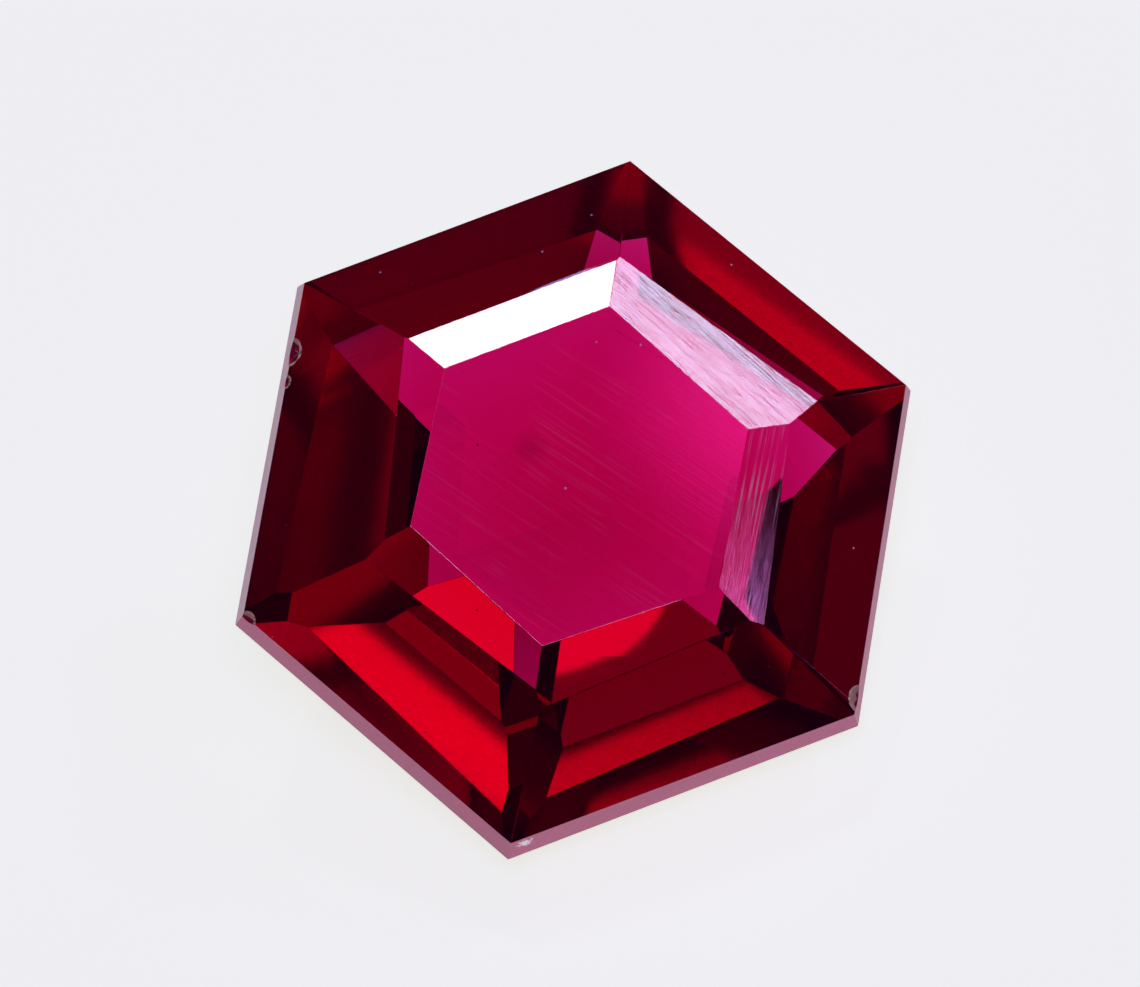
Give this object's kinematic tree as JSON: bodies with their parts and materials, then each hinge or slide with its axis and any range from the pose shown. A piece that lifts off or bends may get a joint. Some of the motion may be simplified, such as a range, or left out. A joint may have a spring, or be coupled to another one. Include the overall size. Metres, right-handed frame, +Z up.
{
  "type": "hexagonal step-cut ruby gemstone",
  "caption": "Loose faceted ruby: a hexagonal step-cut gemstone with a flat table, ground girdle and pointed pavilion, resting on one pavilion facet.",
  "frame": {"origin": "on the surface that the stone lies on, under the middle of its bounding box", "axes": "+Z up; the stone leans on one facet of its lowest pavilion tier, with its table facing up and towards -Y; +X to the right along the table's level sides"},
  "size_m": [0.0142, 0.0116, 0.0068],
  "materials": {
    "ruby": "polished transparent deep red corundum, with a ground frosted girdle"
  },
  "bodies": {
    "root": {"ruby": "ruby"}
  },
  "joints": []
}
